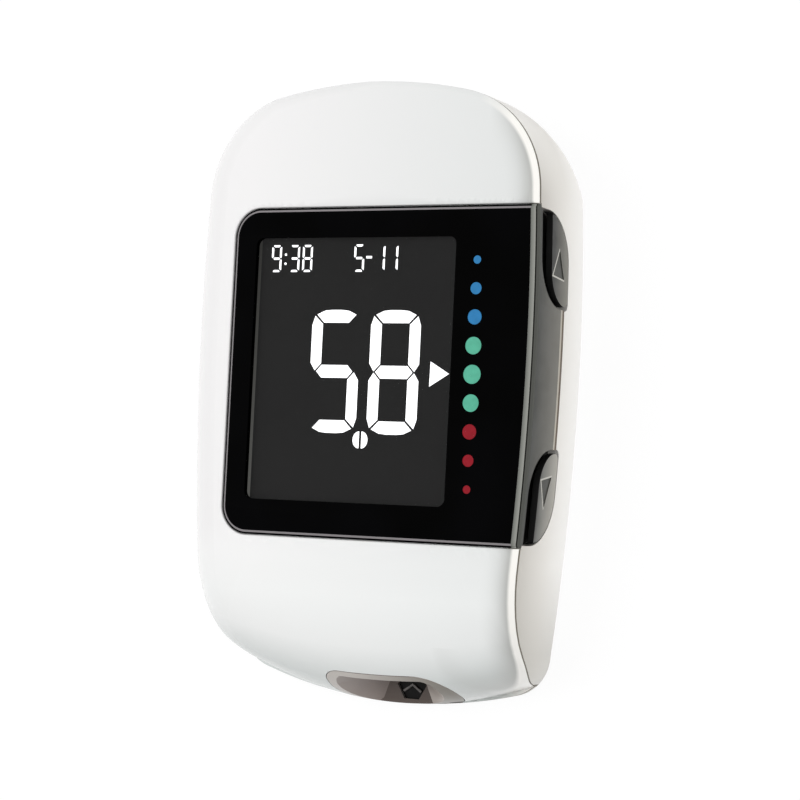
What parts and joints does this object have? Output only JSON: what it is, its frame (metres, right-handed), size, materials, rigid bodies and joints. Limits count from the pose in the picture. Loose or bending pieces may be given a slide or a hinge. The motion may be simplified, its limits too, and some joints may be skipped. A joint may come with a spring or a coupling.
{
  "type": "blood glucose meter",
  "caption": "Pocket blood glucose meter lying on its back: dark display window, push buttons in its side wall, a test strip port in the rolled lower end and a strip ejector on the left.",
  "frame": {"origin": "middle of the flat back face, at the lowest point of the part", "axes": "+Z out of the display, +Y from the strip port towards the USB end, +X towards the side wall with the two buttons"},
  "size_m": [0.0486, 0.0771, 0.0153],
  "materials": {
    "cover_white": "glossy white moulding",
    "case_white": "satin warm white moulding",
    "window": "glossy black-backed clear acrylic",
    "marks": "printed colour",
    "dark_trim": "satin",
    "button_grey": "satin",
    "soft_black": "matte",
    "sheet_metal": "tinned",
    "display": "polarised glass",
    "clear_plastic": "clear acrylic",
    "inner_white": "moulded",
    "elastomer": "layered silicone",
    "board_green": "solder mask",
    "black_plastic": "moulded",
    "cell_steel": "nickel-plated can",
    "contact_gold": "plated spring bronze",
    "screw_steel": "zinc plated",
    "bezel_brown": "satin"
  },
  "bodies": {
    "meter": {"front_cover": "cover_white", "rear_case": "case_white", "display_window": "window", "range_marks": "marks", "side_insert": "dark_trim", "up_switch": "sheet_metal", "down_switch": "sheet_metal", "display_glass": "display", "light_guide": "clear_plastic", "display_frame": "inner_white", "elastomer_connector": "elastomer", "main_board": "board_green", "microcontroller": "black_plastic", "radio_module": "sheet_metal", "sounder": "black_plastic", "coin_cell_left": "cell_steel", "coin_cell_right": "cell_steel", "cell_springs": "contact_gold", "cell_rim_contacts": "contact_gold", "case_screws": "screw_steel", "port_bezel": "bezel_brown", "strip_connector": "black_plastic", "strip_contacts": "contact_gold", "ejector_spring": "screw_steel", "usb_socket": "sheet_metal", "usb_tongue": "black_plastic"},
    "up_key": {"up_button": "button_grey", "up_plunger": "soft_black"},
    "down_key": {"down_button": "button_grey", "down_plunger": "soft_black"},
    "door": {"battery_door": "case_white"},
    "ejector": {"strip_ejector": "case_white"}
  },
  "joints": [
    {"name": "up_press", "type": "slide", "parent": "meter", "child": "up_key", "axis": [-1, 0, 0], "range_m": [0, 0.00045], "stiffness_N_per_m": 4000},
    {"name": "down_press", "type": "slide", "parent": "meter", "child": "down_key", "axis": [-1, 0, 0], "range_m": [0, 0.00045], "stiffness_N_per_m": 4000},
    {"name": "door_swing", "type": "hinge", "parent": "meter", "child": "door", "pos_m": [0, -0.02, 0], "axis": [-1, 0, 0], "range_deg": [0, 70]},
    {"name": "ejector_slide", "type": "slide", "parent": "meter", "child": "ejector", "axis": [0.0513, -0.9987, 0], "range_m": [0, 0.0035], "stiffness_N_per_m": 400}
  ]
}
